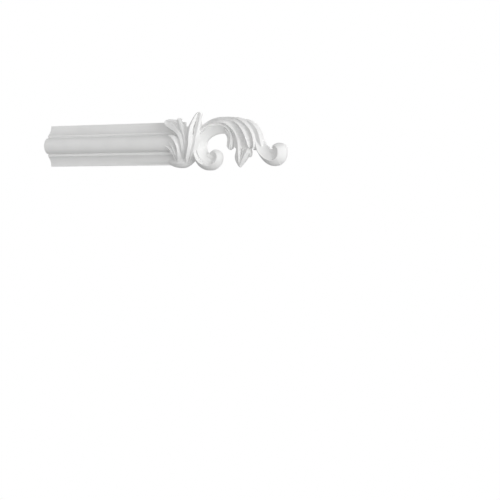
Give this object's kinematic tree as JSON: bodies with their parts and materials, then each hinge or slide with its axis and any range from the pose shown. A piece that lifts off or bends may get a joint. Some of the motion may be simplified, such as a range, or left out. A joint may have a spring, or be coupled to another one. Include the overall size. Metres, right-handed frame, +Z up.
{
  "type": "moulding ornament",
  "caption": "Panel moulding run that ends in a carved leaf cuff, open C scroll with volute, leaf cascade and curling stem; flat back for the wall.",
  "frame": {"origin": "on the flat back, on the moulding's centre line, where the carved cuff begins", "axes": "+X along the moulding from the plain run to the ornament, +Z up on the wall, +Y into the wall; the carving faces -Y"},
  "size_m": [0.367, 0.0337, 0.0802],
  "materials": {
    "primed_cast": "smooth matt white primer"
  },
  "bodies": {
    "root": {"acanthus_moulding": "primed_cast"}
  },
  "joints": []
}
